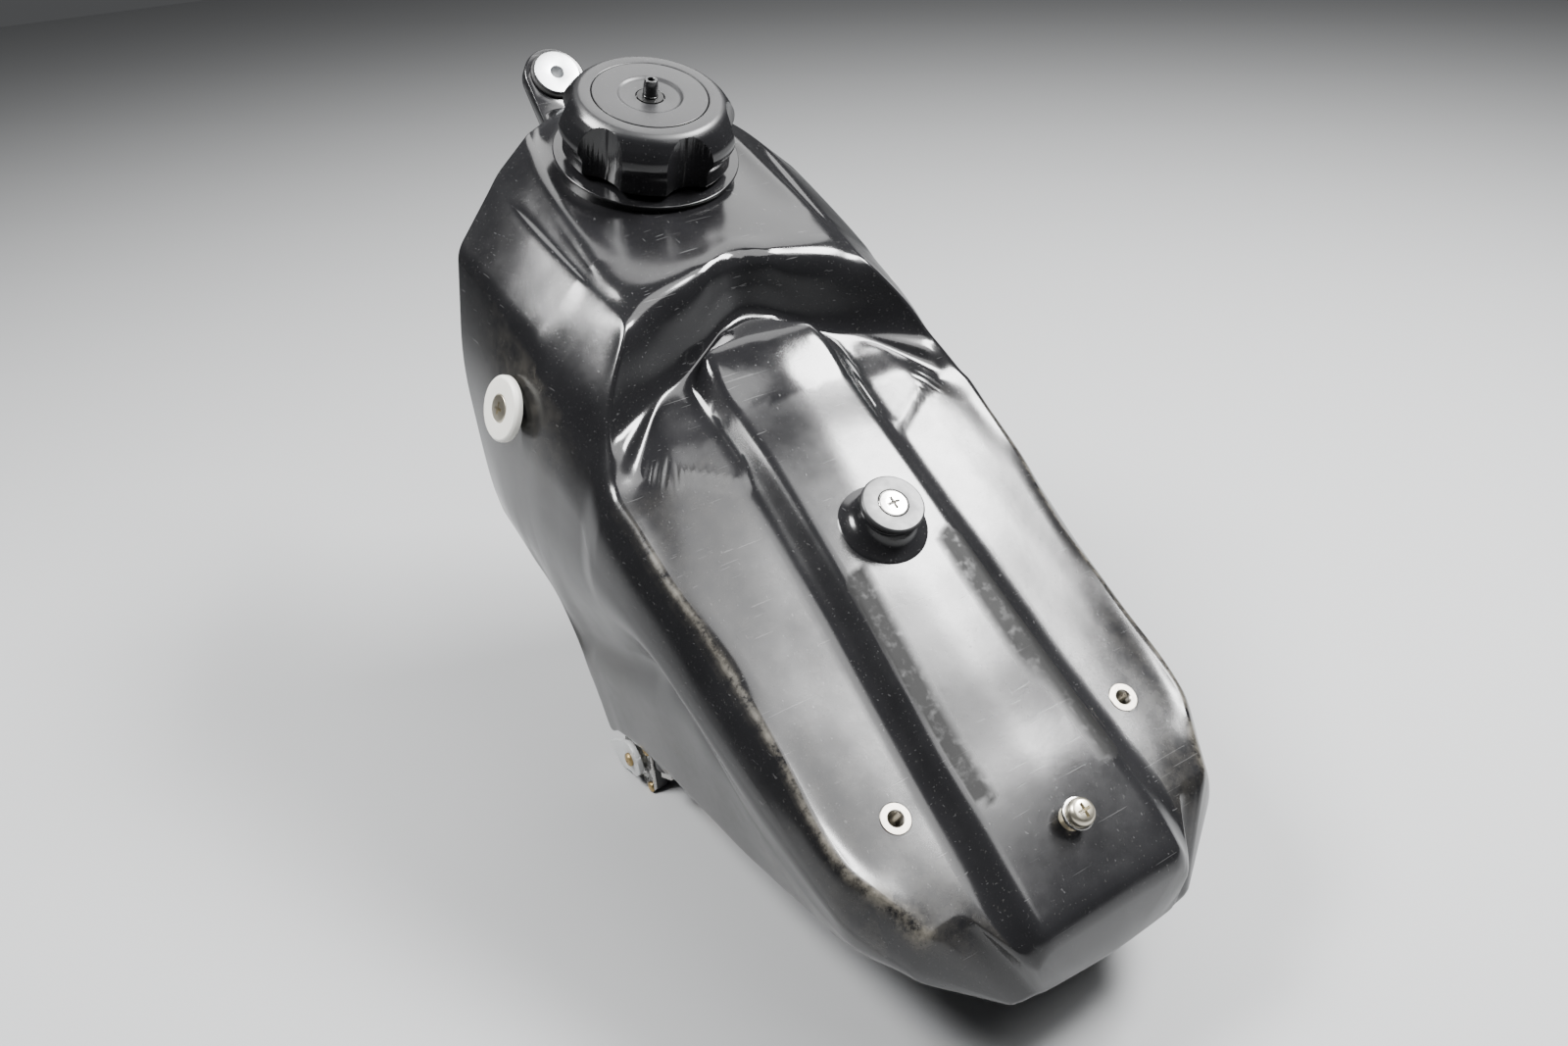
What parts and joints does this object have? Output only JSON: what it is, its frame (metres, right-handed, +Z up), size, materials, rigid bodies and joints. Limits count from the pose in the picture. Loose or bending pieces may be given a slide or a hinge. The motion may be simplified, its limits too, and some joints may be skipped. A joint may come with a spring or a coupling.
{
  "type": "motorcycle fuel tank",
  "caption": "Black blow-moulded off-road motorcycle fuel tank with a screw cap, mounting collars, threaded inserts and a lever fuel cock.",
  "frame": {"origin": "centre of the front mounting collar, at its top face", "axes": "+X to the right of the motorcycle, +Y forward, +Z up as the tank stands in the picture"},
  "size_m": [0.2156, 0.4219, 0.3104],
  "materials": {
    "tank_plastic": "semi-gloss black blow-moulded polyethylene, scuffed",
    "cap_plastic": "semi-gloss black",
    "rubber": "matte black",
    "aluminium": "brushed",
    "nylon": "off-white nylon",
    "collar_dark": "worn dark grey",
    "zinc": "yellowish zinc plate",
    "steel": "bright zinc plate",
    "brass": "dull brass",
    "cock_cast": "satin black die casting",
    "lever_grey": "grey painted pressing",
    "mesh": "woven nylon mesh"
  },
  "bodies": {
    "tank": {"tank_shell": "tank_plastic", "lug_grommet": "rubber", "lug_collar": "aluminium", "shroud_nuts": "brass", "shroud_collars": "nylon", "shroud_screws": "zinc", "hook_nut": "brass", "hook_collar": "collar_dark", "hook_screw": "steel", "seat_nuts": "steel", "tail_nut": "brass", "tail_screw": "zinc", "tail_washer": "steel", "cock_nuts": "brass", "cock_body": "cock_cast", "cock_oring": "rubber", "cock_screws": "steel", "cock_washers": "steel", "cock_packing": "rubber", "cock_plate": "steel", "plate_screws": "brass", "cock_standpipe": "brass", "cock_strainer": "mesh", "outlet_pipe": "brass"},
    "vent": {"vent_nipple": "cap_plastic", "vent_oring": "rubber", "vent_clip": "steel"},
    "cap": {"filler_cap": "cap_plastic", "cap_disc": "cap_plastic", "cap_gasket": "rubber"},
    "lever": {"cock_rotor": "aluminium", "cock_lever": "lever_grey", "lever_screw": "brass", "cock_spring": "steel"}
  },
  "joints": [
    {"name": "cap_lift", "type": "slide", "parent": "tank", "child": "vent", "axis": [0, -0.3584, 0.9336], "range_m": [0, 0.0063]},
    {"name": "cap_turn", "type": "hinge", "parent": "vent", "child": "cap", "pos_m": [0, -0.0917, -0.0215], "axis": [0, -0.3584, 0.9336], "range_deg": [0, 450]},
    {"name": "cock_turn", "type": "hinge", "parent": "tank", "child": "lever", "pos_m": [-0.078, -0.173, -0.28], "axis": [-1, 0, 0], "range_deg": [0, 180]}
  ],
  "couplings": [
    {"joint": "cap_lift", "follows": "cap_turn", "m_per_rad": 0.00079577}
  ]
}
